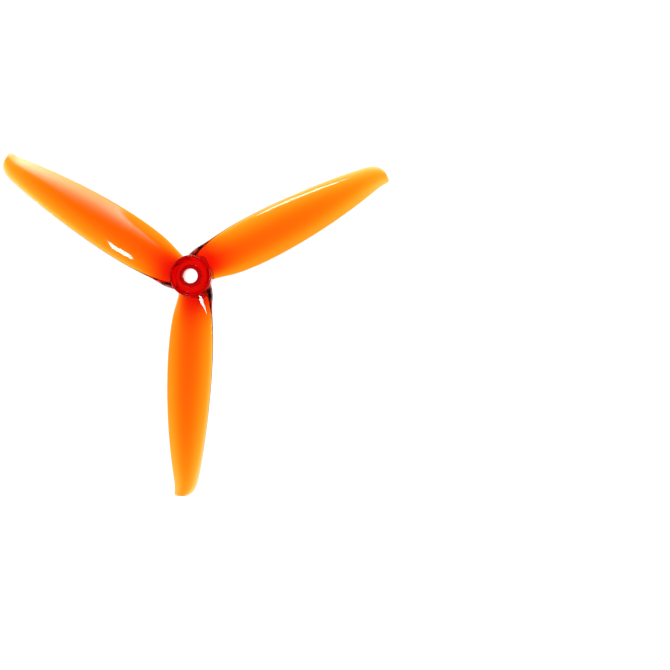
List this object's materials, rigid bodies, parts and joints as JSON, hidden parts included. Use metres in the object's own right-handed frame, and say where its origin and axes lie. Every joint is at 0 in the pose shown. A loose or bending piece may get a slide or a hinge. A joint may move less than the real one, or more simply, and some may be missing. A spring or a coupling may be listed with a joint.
{
  "type": "three-blade propeller",
  "caption": "Small see-through orange multirotor propeller: three twisted, wide aerofoil blades with rounded, slightly hooked tips on a low round hub with a dished top and a plain shaft bore.",
  "frame": {"origin": "on the bore axis, in the plane of the hub's underside, which seats on the motor", "axes": "+Z along the bore axis, away from the motor towards the nut; +X along blade_1. Seen from +Z the propeller turns anticlockwise and its blades lead with their anticlockwise edge; thrust pushes it towards +Z"},
  "size_m": [0.1183, 0.1338, 0.0084],
  "materials": {
    "clear_orange_hub": "polished, see-through orange moulding, thick enough to look deep red",
    "clear_orange_blade": "polished, see-through orange moulding, paler where it is thin"
  },
  "bodies": {
    "root": {"bore_sleeve": "clear_orange_hub", "hub_web": "clear_orange_hub", "hub_rim": "clear_orange_hub", "blade_1": "clear_orange_blade", "blade_2": "clear_orange_blade", "blade_3": "clear_orange_blade"}
  },
  "joints": []
}
